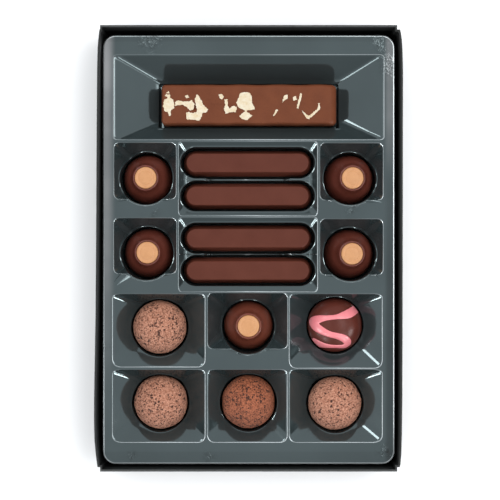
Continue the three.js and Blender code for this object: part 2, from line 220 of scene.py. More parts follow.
def noise(tree, place, scale, detail, **more):
    """The value of a noise at a place, its scale in cells to a metre."""
    inputs = {"Vector": place, "Scale": scale, "Detail": detail, **more}
    return node(tree, "TexNoise", {}, inputs).outputs[0]


def mottle_group():
    """Two sizes of noise on Object coordinates: a mix of two colours, a roughness and a height."""
    group, given, out = new_group(
        "mottle",
        {"Dark": ("Color", (0, 0, 0, 1)), "Light": ("Color", (1, 1, 1, 1)),
         "Coarse": ("Float", 60.0), "Fine": ("Float", 900.0), "Fine share": ("Float", 0.3),
         "Low rough": ("Float", 0.3), "High rough": ("Float", 0.4)},
        {"Color": "Color", "Roughness": "Float", "Height": "Float"})
    place = node(group, "TexCoord").outputs["Object"]
    coarse = noise(group, place, given.outputs["Coarse"], 3.0)
    fine = noise(group, place, given.outputs["Fine"], 2.0)
    mixed = node(group, "Mix", {"data_type": "FLOAT"},
                 {0: given.outputs["Fine share"], 2: coarse, 3: fine}).outputs[0]
    spread = node(group, "MapRange", {}, {"Value": mixed, "From Min": 0.3, "From Max": 0.7}).outputs[0]
    rough = node(group, "Mix", {"data_type": "FLOAT"},
                 {0: spread, 2: given.outputs["Low rough"], 3: given.outputs["High rough"]})
    colour = blend(group, spread, given.outputs["Dark"], given.outputs["Light"])
    group.links.new(colour, out.inputs["Color"])
    group.links.new(rough.outputs[0], out.inputs["Roughness"])
    group.links.new(mixed, out.inputs["Height"])
    return group


def ramp(tree, value, low, high, top=1.0):
    """A smooth step of a value from low to high."""
    return node(tree, "MapRange", {"interpolation_type": "SMOOTHSTEP"},
                {"Value": value, "From Min": low, "From Max": high, "To Max": top}).outputs[0]


def math_node(tree, operation, first, second):
    return node(tree, "Math", {"operation": operation}, {0: first, 1: second}).outputs[0]


def times(tree, first, second):
    return math_node(tree, "MULTIPLY", first, second)


def minus(tree, first, second):
    return math_node(tree, "SUBTRACT", first, second)


def blend(tree, share, dark, light):
    return node(tree, "Mix", {"data_type": "RGBA"}, {0: share, 6: dark, 7: light}).outputs[2]


def patch(tree, place, centre, radius):
    """A soft round patch: one near its centre and nothing beyond its radius, in millimetres."""
    away = node(tree, "VectorMath", {"operation": "DISTANCE"},
                {0: place, 1: [value * MM for value in centre]}).outputs["Value"]
    return ramp(tree, away, radius * MM, 0.1 * radius * MM)


# Where the painted highlight along the tops of the card's end walls starts along Y and in height, in metres
CARD_END = (0.1114, 0.1117)
CARD_TOP = (0.0326, 0.0329)


def card_group():
    """Black card with a faint grain, and a painted highlight along the tops of the end walls, broken by the
    grain.
    """
    group, given, out = new_group(
        "card", {"Card": ("Color", (0, 0, 0, 1)), "Edge highlight": ("Color", (0.1, 0.1, 0.1, 1))},
        {"Color": "Color", "Roughness": "Float", "Height": "Float"})
    place = node(group, "TexCoord").outputs["Object"]
    axes = node(group, "SeparateXYZ", {}, {0: place})
    grain = noise(group, place, 2200.0, 3.0)
    along = math_node(group, "ABSOLUTE", axes.outputs[1], 0.0)
    top = times(group, ramp(group, along, *CARD_END), ramp(group, axes.outputs[2], *CARD_TOP))
    # Painted highlight along the top edges of the end walls, broken up by the grain
    edge_highlight = times(group, top, ramp(group, grain, 0.25, 0.55))
    group.links.new(blend(group, edge_highlight, given.outputs["Card"], given.outputs["Edge highlight"]), out.inputs["Color"])
    rough = math_node(group, "ADD", times(group, grain, 0.25), 0.42)
    group.links.new(rough, out.inputs["Roughness"])
    group.links.new(grain, out.inputs["Height"])
    return group


# Where the film's painted reflections on its flanks and its painted shade strips by the card's end walls
# start and reach their full strength, in metres
LEFT_FLANK_REFLECTION = (-0.0675, -0.0725)
RIGHT_FLANK_REFLECTION = (0.0688, 0.0715)
FAR_WALL_SHADE = (0.1052, 0.1058)
NEAR_WALL_SHADE = (-0.1035, -0.1041)
# Distances from a rim at which its painted highlight line starts and is full, in centimetres
RIM_HIGHLIGHT = (0.055, 0.022)


def film_group():
    """Slate film in Object coordinates: soft clouds, painted reflections on the flanks (pale, and darker
    low on the right), painted shade in strips by the card's end walls, wrinkled patches on the flange,
    and painted highlight lines along the rims, placed by the UV: the distance from the rim and the
    highlight's strength."""
    group, given, out = new_group(
        "film", {"Film": ("Color", (0.1, 0.1, 0.1, 1)), "Flank reflection": ("Color", (0.2, 0.2, 0.2, 1)),
                 "Edge highlight": ("Color", (0.5, 0.5, 0.5, 1))},
        {"Color": "Color", "Roughness": "Float", "Height": "Float"})
    coordinates = node(group, "TexCoord")
    place = coordinates.outputs["Object"]
    axes = node(group, "SeparateXYZ", {}, {0: place})
    x, y = axes.outputs[0], axes.outputs[1]
    cloud = ramp(group, noise(group, place, 28.0, 3.0), 0.3, 0.7)
    folds = noise(group, place, 480.0, 2.0, Distortion=1.5)
    # Painted reflections: pale on the left flank and the upper right flank, darker low on the right flank
    left = times(group, ramp(group, x, *LEFT_FLANK_REFLECTION), ramp(group, y, -0.11, 0.08, 0.85))
    right = times(group, ramp(group, x, *RIGHT_FLANK_REFLECTION), ramp(group, y, 0.03, 0.07, 0.42))
    dark_reflection = times(group, ramp(group, x, *RIGHT_FLANK_REFLECTION), ramp(group, y, 0.06, -0.02, 0.38))
    flank_reflection = times(group, math_node(group, "MAXIMUM", left, right),
                  math_node(group, "ADD", times(group, cloud, 0.4), 0.6))
    # Painted shade in strips along the flange's ends, beside the card's end walls
    strip = math_node(group, "MAXIMUM", ramp(group, y, *FAR_WALL_SHADE), ramp(group, y, *NEAR_WALL_SHADE))
    wrinkled = 0.0
    for centre, radius in WRINKLES:
        wrinkled = math_node(group, "MAXIMUM", patch(group, place, centre, radius), wrinkled)
    broken = ramp(group, noise(group, place, 170.0, 2.0), 0.4, 0.56)
    creased = times(group, times(group, wrinkled, broken), ramp(group, folds, 0.3, 0.7))
    tone = math_node(group, "ADD", times(group, cloud, 0.1), 0.95)
    tone = minus(group, minus(group, tone, times(group, strip, 0.1)), dark_reflection)
    tone = minus(group, tone, times(group, creased, 0.35))
    film = blend(group, flank_reflection, given.outputs["Film"], given.outputs["Flank reflection"])
    film = node(group, "VectorMath", {"operation": "SCALE"}, {0: film, "Scale": tone}).outputs[0]
    marks = node(group, "SeparateXYZ", {}, {0: coordinates.outputs["UV"]})
    # Painted highlight lines along the rims, from the UV: the distance from the rim and the highlight's
    # strength
    edge = times(group, ramp(group, marks.outputs[0], *RIM_HIGHLIGHT), marks.outputs[1])
    colour = blend(group, edge, film, given.outputs["Edge highlight"])
    group.links.new(colour, out.inputs["Color"])
    rough = math_node(group, "ADD", times(group, cloud, 0.05), 0.06)
    group.links.new(rough, out.inputs["Roughness"])
    group.links.new(creased, out.inputs["Height"])
    return group


# Cells to a metre of each size of fleck, and the largest fleck as a share of its cell
FLECKS = ((560.0, 0.45), (980.0, 0.58))
FLECK_BEND = (0.0016, 0.0016, 0.0016)


def speckle_group():
    """Powder with a fine grain and, in patches, dark flecks: cells of two sizes, each with a fleck as
    large as its own chance allows, and broken cracks along the middle level of a noise."""
    group, given, out = new_group(
        "powder_specks",
        {"Powder": ("Color", (0.5, 0.3, 0.2, 1)), "Warm": ("Color", (0.4, 0.2, 0.1, 1)),
         "Speck": ("Color", (0.05, 0.02, 0.02, 1)), "Amount": ("Float", 0.5)},
        {"Color": "Color", "Height": "Float"})
    place = node(group, "TexCoord").outputs["Object"]
    grain = noise(group, place, 1150.0, 4.0, Roughness=0.7)
    coarse = noise(group, place, 130.0, 2.0)
    warp = node(group, "TexNoise", {}, {"Vector": place, "Scale": 800.0, "Detail": 2.0}).outputs["Color"]
    bent = node(group, "VectorMath", {"operation": "MULTIPLY_ADD"},
                {0: warp, 1: FLECK_BEND, 2: place}).outputs[0]
    thick = times(group, given.outputs["Amount"], ramp(group, coarse, 0.2, 0.62))
    chance = minus(group, 1.0, thick)
    cover = 0.0
    for scale, size in FLECKS:
        cells = node(group, "TexVoronoi", {}, {"Vector": bent, "Scale": scale})
        luck = node(group, "SeparateColor", {}, {0: cells.outputs["Color"]}).outputs[0]
        radius = times(group, size, ramp(group, luck, chance, 1.0))
        fleck = ramp(group, minus(group, radius, cells.outputs["Distance"]), 0.0, 0.1)
        cover = math_node(group, "MAXIMUM", fleck, cover)
    vein = noise(group, bent, 360.0, 2.0, Distortion=0.8)
    off_middle = math_node(group, "ABSOLUTE", minus(group, vein, 0.5), 0.0)
    crack = times(group, ramp(group, off_middle, 0.024, 0.008, 0.85), ramp(group, grain, 0.54, 0.44))
    cover = math_node(group, "MAXIMUM", cover, crack)
    ground = blend(group, ramp(group, grain, 0.36, 0.62), given.outputs["Warm"], given.outputs["Powder"])
    colour = blend(group, cover, ground, given.outputs["Speck"])
    group.links.new(colour, out.inputs["Color"])
    group.links.new(minus(group, grain, cover), out.inputs["Height"])
    return group


MOTTLE = mottle_group()
SPECKS = speckle_group()


def finish_material(name, group, values, settings, bump_mm):
    """A material whose colour, roughness and bump come from a group, with its own constant settings."""
    material = bpy.data.materials.new(name)
    material.use_nodes = True
    tree = material.node_tree
    shader = tree.nodes["Principled BSDF"]
    for key, value in settings.items():
        shader.inputs[key].default_value = value
    effect = tree.nodes.new("ShaderNodeGroup")
    effect.node_tree = group
    for key, value in values.items():
        effect.inputs[key].default_value = value
    tree.links.new(effect.outputs["Color"], shader.inputs["Base Color"])
    if "Roughness" in effect.outputs:
        tree.links.new(effect.outputs["Roughness"], shader.inputs["Roughness"])
    bump = node(tree, "Bump", {}, {"Strength": 1.0, "Distance": bump_mm * MM,
                                   "Height": effect.outputs["Height"]})
    tree.links.new(bump.outputs["Normal"], shader.inputs["Normal"])
    return material


def mottled(name, dark, light, rough, settings=(), coarse=60.0, fine=900.0, share=0.3, bump_mm=0.1):
    """A material between two colours and two roughnesses, by the mottle."""
    return finish_material(
        name, MOTTLE,
        {"Dark": (*dark, 1), "Light": (*light, 1), "Coarse": coarse, "Fine": fine, "Fine share": share,
         "Low rough": rough[0], "High rough": rough[1]},
        dict(settings), bump_mm)


def powdered(name, powder, warm, speck, amount):
    """A matt material between two colours of powder, with the amount of flecks."""
    return finish_material(
        name, SPECKS, {"Powder": (*powder, 1), "Warm": (*warm, 1), "Speck": (*speck, 1), "Amount": amount},
        {"Roughness": 0.85, "Specular IOR Level": 0.25}, 0.35)


TRAY_FILM = finish_material(
    "slate_film", film_group(),
    {"Film": (0.054, 0.072, 0.0755, 1), "Flank reflection": (0.29, 0.29, 0.295, 1), "Edge highlight": (0.36, 0.39, 0.4, 1)},
    {"Metallic": 0.6}, 0.07)
CARD = finish_material(
    "black_card", card_group(), {"Card": (0.0075, 0.0085, 0.0085, 1), "Edge highlight": (0.05, 0.052, 0.052, 1)},
    {"Specular IOR Level": 0.2}, 0.05)
MILK = mottled("milk_chocolate", (0.118, 0.033, 0.0135), (0.15, 0.044, 0.018), (0.4, 0.55),
               {"Specular IOR Level": 0.08}, coarse=120, fine=1300, bump_mm=0.12)
BATON = mottled("baton_chocolate", (0.086, 0.0225, 0.0135), (0.102, 0.0275, 0.0165), (0.34, 0.46),
                {"Specular IOR Level": 0.08}, coarse=90, fine=1500, bump_mm=0.06)
DARK = mottled("dark_chocolate", (0.1, 0.023, 0.0145), (0.13, 0.033, 0.0215), (0.26, 0.36),
               {"Specular IOR Level": 0.25}, coarse=120, fine=1300, bump_mm=0.05)
WARM_DARK = mottled("warm_dark_chocolate", (0.13, 0.031, 0.0175), (0.165, 0.043, 0.025), (0.26, 0.36),
                    {"Specular IOR Level": 0.25}, coarse=120, fine=1300, bump_mm=0.05)
GLOSSY = mottled("glazed_chocolate", (0.078, 0.0165, 0.0105), (0.104, 0.025, 0.0165), (0.28, 0.4),
                 {"Specular IOR Level": 0.12}, coarse=120, fine=1300, bump_mm=0.05)
CARAMEL = mottled("caramel_disc", (0.49, 0.225, 0.088), (0.56, 0.275, 0.118), (0.35, 0.5),
                  {"Specular IOR Level": 0.3}, coarse=400, fine=1500, share=0.4, bump_mm=0.06)
PINK = mottled("pink_icing", (0.68, 0.178, 0.2), (0.77, 0.225, 0.245), (0.3, 0.42),
               {"Specular IOR Level": 0.35}, coarse=150, fine=1500, bump_mm=0.04)
NOUGAT = mottled("cream_nougat", (0.57, 0.44, 0.26), (0.7, 0.65, 0.53), (0.5, 0.7),
                 {"Specular IOR Level": 0.2}, coarse=420, fine=1800, share=0.35, bump_mm=0.25)
POWDERS = [
    powdered("pale_powder_1", (0.5, 0.236, 0.153), (0.255, 0.092, 0.05), (0.06, 0.019, 0.011), 0.6),
    powdered("pale_powder_2", (0.5, 0.236, 0.153), (0.255, 0.092, 0.05), (0.06, 0.019, 0.011), 0.6),
    powdered("brown_powder", (0.35, 0.107, 0.049), (0.18, 0.047, 0.019), (0.05, 0.014, 0.007), 0.7),
    powdered("pale_powder_3", (0.52, 0.248, 0.162), (0.28, 0.1, 0.056), (0.06, 0.019, 0.011), 0.55),
]


# Tray

RIM_WIDTH = 0.3
RIM_CORNER = 2.6
SEAT_EDGE = 0.45
FLOOR_EDGE = 1.0
FILM_THICKNESS = 0.4
FAR_INWARD = 5.0
EDGE_TURNS = np.radians([22, 45, 67, 90])
FLOOR_TURNS = np.radians([30, 60, 90])
SLOPE_ROWS = 14
RECESS_ROWS = 10
TRAY_CELLS = [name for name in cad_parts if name.startswith("tray_cell_")]
FLANGE = {"x": (-74.4, 74.7), "y": (-110.2, 108.9), "corner": 6.6}
LIP = 0.55
LIP_DROP = 0.8
# Width of the band in from the lip over which the lip's painted highlight fades, and the strength of that
# painted highlight
LIP_HIGHLIGHT_BAND = 0.5
LIP_HIGHLIGHT_STRENGTH = 1.3

# Sides of each pocket's rim, the centre of its seat, and how far in each of its walls slopes: left,
# right, near and far
LEFT_X = (-69.3, -22.3)
MIDDLE_X = (-20.8, 19.6)
RIGHT_X = (20.9, 68.1)
BALL_POCKETS = [
    {"x": LEFT_X, "y": (-60.4, -23.3), "centre": (-45.9, -40.8), "insets": (10.3, 9, 9.8, 4.5)},
    {"x": RIGHT_X, "y": (-61.0, -23.3), "centre": (44.6, -39.7), "insets": (9, 10.3, 9.8, 4.5)},
    {"x": LEFT_X, "y": (-98.9, -61.9), "centre": (-45.4, -79.6), "insets": (11.5, 9, 9, 4.8)},
    {"x": MIDDLE_X, "y": (-98.9, -61.9), "centre": (-0.1, -79.4), "insets": (9, 9, 9, 4.8)},
    {"x": RIGHT_X, "y": (-98.9, -61.9), "centre": (44.6, -80.1), "insets": (9, 11.5, 9, 4.8)},
]
# A wall's fall over its inset, the rounding of the creases, the lowest fall, the direction of the
# creases from the middle, and the seat: radii of its top and floor, and the floor's height
BALL_DEPTH = 8.8
BALL_CREASE = 4.0
BALL_LOWEST = 12.0
BALL_AIM = (15.2, 13)
BALL_SEAT = (14.75, 13.5, 2.1)
DOME_POCKETS = [
    {"x": (-68.7, -37.0), "y": (25.2, 54.0), "centre": (-52.6, 36.0)},
    {"x": (-68.8, -36.8), "y": (-12.9, 15.5), "centre": (-52.2, -2.5)},
    {"x": (36.5, 68.7), "y": (24.7, 53.8), "centre": (52.1, 35.9)},
    {"x": (36.5, 68.7), "y": (-13.4, 15.0), "centre": (52.1, -3.0)},
    {"x": (-20.9, 19.9), "y": (-51.2, -22.8), "centre": (-0.2, -40.3)},
]
DOME_DEPTH = 13
DOME_LOWEST = 16.5
DOME_INSETS = (6.75, 6.75, 6.75, 6.75)
DOME_CREASE = 6.0
DOME_AIM = (1, 1)
DOME_SEAT = (13.7, 13.3, 5.4)
BAR_POCKET = {"x": (-68.7, 68.8), "y": (55.6, 98.7), "insets": (23.1, 21.6, 11.2, 12.2)}
BAR_DEPTH = 11
BAR_CREASE = 1.6
BAR_SEAT = ((-46.4, 46.6), (61.9, 85.4))
BAR_SEAT_Z = 12.4
BATON_RECESSES = [
    {"x": (-35.7, 35.2), "y": (16.8, 54.5), "seat_x": -0.5, "seats": (43.9, 26.9)},
    {"x": (-35.7, 35.2), "y": (-22.0, 15.7), "seat_x": -0.3, "seats": (5.2, -11.4)},
]
RECESS_DEPTH = 4.0
RECESS_INSETS = (3.0, 3.0, 4.5, 4.5)
RECESS_CREASE = 2.4
# Length, width, taper and floor height of the seat
BATON_SEAT = (68.8, 15.8, 0.7, 12.5)
RIDGE_NOTCH = {"x": (-22.0, 21.0), "z": 17.0, "slope": 2.5, "half_width": 1.6}


def funnel(shape, insets, depth, crease, lowest):
    """How far four sloping walls have fallen below the flange at a place: the least of their falls,
    with rounded creases. Outside the rim it is negative."""
    x, y = shape["x"], shape["y"]
    left, right, near, far = (depth / inset for inset in insets)

    def fall(p):
        across = smooth_min(left * (p[..., 0] - x[0]), right * (x[1] - p[..., 0]), crease)
        along = smooth_min(near * (p[..., 1] - y[0]), far * (y[1] - p[..., 1]), crease)
        drop = smooth_min(across, along, crease)
        return smooth_min(drop, np.full_like(drop, lowest), 0.6)
    return fall


def height_at(fall):
    """Height of the film for a fall: level outside the rim, and rounded over it."""
    return FLANGE_Z - smooth_max(fall, np.zeros_like(fall), RIM_WIDTH)


def settle(rim, inner, fall):
    """Slides each rim point along the line to its inner point, to where the film starts to round
    down, by halving the interval that holds the place."""
    low, high = np.full(len(rim), -0.4), np.full(len(rim), 0.6)
    for _ in range(22):
        middle = (low + high) / 2
        inside = fall(rim + (inner - rim) * middle[:, None]) > -RIM_WIDTH
        high = np.where(inside, middle, high)
        low = np.where(inside, low, middle)
    return rim + (inner - rim) * high[:, None]


def pocket(rim, seat, floor, height, floor_z, rows=SLOPE_ROWS):
    """A pocket as rings: from the rim to the seat's edge at the funnel's height, closest together at
    the rim, over the rounded edge, down the seat's wall and round into its floor."""
    share = np.linspace(0, 1, rows)[:, None, None] ** 2
    slope = rim + (seat["outer"] - rim) * share
    rings = [np.concatenate([slope, height(slope)[..., None]], axis=-1)]
    top = height(seat["outer"])
    for turn in EDGE_TURNS:
        spot = seat["outer"] + (seat["edge"] - seat["outer"]) * math.sin(turn)
        rings.append(np.column_stack([spot, top - SEAT_EDGE * (1 - math.cos(turn))])[None])
    wall_top = top - SEAT_EDGE
    for share in (0.33, 0.66, 1):
        z = wall_top + (floor_z + FLOOR_EDGE - wall_top) * share
        rings.append(np.column_stack([seat["edge"] + (floor["edge"] - seat["edge"]) * share, z])[None])
    for turn in FLOOR_TURNS:
        spot = floor["edge"] + (floor["inner"] - floor["edge"]) * (1 - math.cos(turn))
        z = np.full(len(spot), floor_z + FLOOR_EDGE * (1 - math.sin(turn)))
        rings.append(np.column_stack([spot, z])[None])
    return np.concatenate(rings)


def round_pocket(rim, places, shape, seat_size, fall, aim):
    """A funnel with a round seat, its angles chosen so that the creases, which run along the aim and
    its three mirror images, follow the columns."""
    top_radius, floor_radius, floor_z = seat_size
    bend = math.degrees(math.atan2(aim[1], aim[0]))
    spread = 5
    angles = [a + s for a in (bend, 180 - bend, 180 + bend, 360 - bend) for s in (-spread, spread)]
    angles.append(360 + bend - spread)

    def ring(radius):
        return stadium(places, shape["centre"], 0, radius, angles)

    return pocket(rim, {"outer": ring(top_radius + SEAT_EDGE), "edge": ring(top_radius)},
                  {"edge": ring(floor_radius), "inner": ring(floor_radius - FLOOR_EDGE)},
                  lambda p: height_at(fall(p)), floor_z)


def ball_pocket(shape):
    """Four sloping walls under a rounded rectangle, down to a round seat."""
    places = turns(15, 20, 16)
    fall = funnel(shape, shape["insets"], BALL_DEPTH, BALL_CREASE, BALL_LOWEST)
    rim = rectangle(places, shape["x"], shape["y"], RIM_CORNER)
    rim = settle(rim, np.array(shape["centre"]), fall)
    return round_pocket(rim, places, shape, BALL_SEAT, fall, BALL_AIM)


def dome_pocket(shape):
    """As a ball's pocket, with the rim pushed out wherever the round seat passes it."""
    places = turns(15, 15, 15)
    centre = np.array(shape["centre"])
    fall = funnel(shape, DOME_INSETS, DOME_DEPTH, DOME_CREASE, DOME_LOWEST)
    rim = settle(rectangle(places, shape["x"], shape["y"], RIM_CORNER), centre, fall)
    away = rim - centre
    distance = np.linalg.norm(away, axis=1, keepdims=True)
    rim = centre + away / distance * smooth_max(distance, DOME_SEAT[0] + SEAT_EDGE + 0.3, 1.6)
    return round_pocket(rim, places, shape, DOME_SEAT, fall, DOME_AIM)


def bar_pocket():
    """Four sloping walls under a rounded rectangle, down to a long seat with rounded corners."""
    places = turns(13, 30, 18)
    fall = funnel(BAR_POCKET, BAR_POCKET["insets"], BAR_DEPTH, BAR_CREASE, BAR_DEPTH + 0.5)

    def ring(by, corner):
        return rectangle(places, grow(BAR_SEAT[0], by), grow(BAR_SEAT[1], by), corner)

    outer = ring(SEAT_EDGE, 1.4)
    rim = settle(rectangle(places, BAR_POCKET["x"], BAR_POCKET["y"], RIM_CORNER), outer, fall)
    return pocket(rim, {"outer": outer, "edge": ring(0, 1.0)},
                  {"edge": ring(-0.1, 1.0), "inner": ring(-0.1 - FLOOR_EDGE, 0.4)},
                  lambda p: height_at(fall(p)), BAR_SEAT_Z)


def baton_recess(shape):
    """Two halves that meet along the ridge between their round-ended seats. The ridge keeps its
    height at its ends and is lowered between them."""
    seats = shape["seats"]
    split = (seats[0] + seats[1]) / 2
    fall = funnel(shape, RECESS_INSETS, RECESS_DEPTH, RECESS_CREASE, RECESS_DEPTH)
    margin = RIM_WIDTH * RECESS_INSETS[0] / RECESS_DEPTH
    side_x, side_y = grow(shape["x"], margin), grow(shape["y"], RIM_WIDTH * RECESS_INSETS[2] / RECESS_DEPTH)
    length, width, taper, floor_z = BATON_SEAT
    notch = RIDGE_NOTCH

    def height(p):
        outside = np.maximum(notch["x"][0] - p[..., 0], p[..., 0] - notch["x"][1]) / notch["slope"]
        lowered = notch["z"] + (FLANGE_Z - notch["z"]) * np.clip(outside + 0.5, 0, 1)
        beside = np.abs(p[..., 1] - split) > notch["half_width"]
        walls = height_at(fall(p))
        return np.where(beside, walls, np.minimum(walls, lowered))

    halves = []
    for seat_y, bounds, corners in ((seats[0], (split, side_y[1]), (RIM_CORNER, RIM_CORNER, 0, 0)),
                                    (seats[1], (side_y[0], split), (0, 0, RIM_CORNER, RIM_CORNER))):
        places = turns(11, 40, 16)

        def ring(by):
            return stadium(places, (shape["seat_x"], seat_y), (length - width) / 2, width / 2 + by)

        outline = rectangle(places, side_x, bounds, corners)
        on_split = np.abs(outline[:, 1:] - split) < 1e-6
        rim = np.where(on_split, outline, settle(outline, ring(SEAT_EDGE), fall))
        seat = {"outer": ring(SEAT_EDGE), "edge": ring(0)}
        floor = {"edge": ring(-taper), "inner": ring(-taper - FLOOR_EDGE)}
        halves.append(pocket(rim, seat, floor, height, floor_z, RECESS_ROWS))
    return halves


def outer_lip():
    """Rings from under the flange's outer edge, up round it and a little way in along the level."""
    places = turns(13, 12, 20)
    x, y, corner = FLANGE["x"], FLANGE["y"], FLANGE["corner"]
    rings = [np.column_stack([rectangle(places, x, y, corner), np.full(len(places), FLANGE_Z - LIP_DROP)])]
    for turn in (0, *EDGE_TURNS):
        back = LIP * (1 - math.cos(turn))
        outline = rectangle(places, grow(x, -back), grow(y, -back), corner - back)
        z = np.full(len(places), FLANGE_Z - LIP * (1 - math.sin(turn)))
        rings.append(np.column_stack([outline, z]))
    back = LIP + LIP_HIGHLIGHT_BAND
    outline = rectangle(places, grow(x, -back), grow(y, -back), corner - back)
    rings.append(np.column_stack([outline, np.full(len(places), FLANGE_Z)]))
    return np.array(rings)


def add_tray():
    """One sheet: the pockets' and recesses' rings, the lip, and triangles at the flange's level that
    fill what lies between their rims, given its thickness downwards."""
    rounds = [ball_pocket(shape) for shape in BALL_POCKETS] + [dome_pocket(shape) for shape in DOME_POCKETS]
    rounds.append(bar_pocket())
    halves = [baton_recess(shape) for shape in BATON_RECESSES]
    lip = outer_lip()
    points, faces, marks, count = [], [], [], 0

    def take(rings, floor=True):
        nonlocal count
        rows, columns = rings.shape[:2]
        points.append(rings.reshape(-1, 3))
        marks.append(edge_marks(rings))
        faces.extend((ring_faces(rows, columns) + count).tolist())
        if floor:
            faces.append(list(range(count + (rows - 1) * columns, count + rows * columns)))
        count += rows * columns

    for rings in rounds + [half for pair in halves for half in pair]:
        take(rings)
    take(lip, floor=False)
    # The lip gets the painted highlight all round its rounding, fading out over the band in from it
    marks[-1] = np.clip(marks[-1] * [0, LIP_HIGHLIGHT_STRENGTH], 0, 1)
    marks[-1][-lip.shape[1]:, 0] = LIP_HIGHLIGHT_BAND / 8
    holes = [rings[0, :, :2] for rings in rounds] + [joined_rim(pair) for pair in halves]
    outlines = [lip[-1, :, :2]] + holes
    flat = np.concatenate(outlines)
    level = np.column_stack([flat, np.full(len(flat), FLANGE_Z)])
    triangles = tessellate_polygon([[(*p, 0.0) for p in outline] for outline in outlines])
    points.append(level)
    marks.append(np.tile([FAR_INWARD, 0.0], (len(level), 1)))
    faces.extend([[count + i for i in triangle] for triangle in triangles])
    tray = add_piece("tray_film", np.concatenate(points), faces, TRAY_FILM, "tray_plastic", TRAY_CELLS)
    level_from = len(faces) - len(triangles)
    tray.data.polygons.foreach_set("use_smooth", np.arange(len(faces)) < level_from)
    note_marks(tray, np.concatenate(marks))
    weld(tray)
    film = tray.modifiers.new("film", "SOLIDIFY")
    film.thickness = FILM_THICKNESS * MM
    film.offset = -1
    return tray


def edge_marks(rings):
    """For each point, its distance from its pocket's rim in centimetres, and the strength of the painted
    highlight along that stretch of the rim: most on the right and near sides, least on the left and far
    sides."""
    rim = rings[0, :, :2]
    away = rim - rim.mean(axis=0)
    away /= np.linalg.norm(away, axis=1, keepdims=True)
    highlight_strength = np.clip(0.55 + 0.32 * (away[:, 0] - away[:, 1]), 0.2, 1)
    inward = np.linalg.norm(rings[..., :2] - rim, axis=-1) / 10
    return np.stack([inward, np.broadcast_to(highlight_strength, inward.shape)], axis=-1).reshape(-1, 2)


def note_marks(piece, marks):
    """Keeps the marks of each face corner's point as the piece's UV."""
    layer = piece.data.uv_layers.new(name="from_rim")
    owner = np.empty(len(piece.data.loops), int)
    piece.data.loops.foreach_get("vertex_index", owner)
    layer.data.foreach_set("uv", marks[owner].ravel().astype(np.float32))


def joined_rim(pair):
    """The outline of two halves together, anticlockwise: the points of each that aren't on the split."""
    upper, lower = (half[0, :, :2] for half in pair)
    split = lower[:, 1].max()
    above = upper[upper[:, 1] > split + 1e-4]
    below = lower[lower[:, 1] < split - 1e-4]
    ends = np.array([[upper[:, 0].min(), split], [upper[:, 0].max(), split]])
    middle = np.concatenate([above, below])
    every = np.concatenate([middle, ends])
    centre = np.array([every[:, 0].mean(), split])
    reach = np.ptp(every, axis=0) / 2
    angle = np.arctan2(*((every - centre) / reach).T[::-1])
    return every[np.argsort(angle)]


def weld(piece):
    """Joins the points that neighbouring grids share, and turns all faces one way, tops up."""
    mesh = bmesh.new()
    mesh.from_mesh(piece.data)
    bmesh.ops.remove_doubles(mesh, verts=mesh.verts, dist=2e-6)
    bmesh.ops.recalc_face_normals(mesh, faces=mesh.faces)
    mesh.faces.ensure_lookup_table()
    level = max(mesh.faces, key=lambda face: face.calc_center_median().z + face.calc_area())
    if level.normal.z < 0:
        bmesh.ops.reverse_faces(mesh, faces=mesh.faces)
    mesh.to_mesh(piece.data)
    mesh.free()


# Chocolates

FULL_TURN = np.linspace(0, 2 * np.pi, 96, endpoint=False)


def turned(profile, columns=FULL_TURN):
    """A body turned round the vertical axis: each profile point's radius times the cosine and sine."""
    r, z = profile[:, 0, None], profile[:, 1, None]
    return np.stack([r * np.cos(columns), r * np.sin(columns), z + 0 * columns], axis=-1)


# Radius and height along each turned profile, and how far each dome's top leans in X and Y
DOME_PROFILE = [[0.4, 0], [11.2, 0], [12.3, 0.35], [12.75, 1.6], [12.72, 3.6], [12.35, 5.6], [11.7, 7.6],
                [10.8, 9.4], [9.7, 10.9], [8.7, 11.9], [7.9, 12.8], [7.25, 13.9], [6.85, 14.9], [6.5, 15.4],
                [6.1, 15.5], [5.75, 15.3], [5.6, 14.9], [5.5, 14.6], [0.3, 14.6]]
DISC_PROFILE = [[0.2, 14.7], [5.3, 14.7], [5.6, 15.0], [5.58, 15.5], [5.3, 15.88], [4.6, 15.95],
                [4.1, 15.8], [3.6, 15.78], [3.2, 15.92], [1.5, 16.0], [0.2, 16.0]]
DOME_LEANS = [(-0.4, 0.3), (0.1, 0.3), (1.5, 0.3), (1.2, 0.2), (0.2, 0.3)]
DOME_REST_Z = 5.7
DOME_HEIGHT = 15.6
DOME_LUMP = 0.05


def add_domes():
    """Turned bodies with shallow lumps, each leaning more the higher it is."""
    profile, disc = smooth_path(DOME_PROFILE, 110), smooth_path(DISC_PROFILE, 60)
    for i, (shape, lean) in enumerate(zip(DOME_POCKETS, DOME_LEANS), start=1):
        body = WARM_DARK if i == len(DOME_POCKETS) else DARK
        for name, path, material, slot in (("ringed_dome_", profile, body, "dark_chocolate"),
                                           ("caramel_disc_", disc, CARAMEL, "caramel")):
            rings = turned(path)
            lumps = DOME_LUMP * waves(rings + 40 * i, 9, 12, SEED + i)
            rings[..., 2] += np.where(rings[..., 2] > 1, lumps, 0)
            for axis in (0, 1):
                rings[..., axis] += shape["centre"][axis] + lean[axis] * rings[..., 2] / DOME_HEIGHT
            rings[..., 2] += DOME_REST_Z
            stands_for = "caramel_" if material is CARAMEL else "dome_"
            add_piece(name + str(i), *closed_body(rings), material, slot, (stands_for + str(i),))


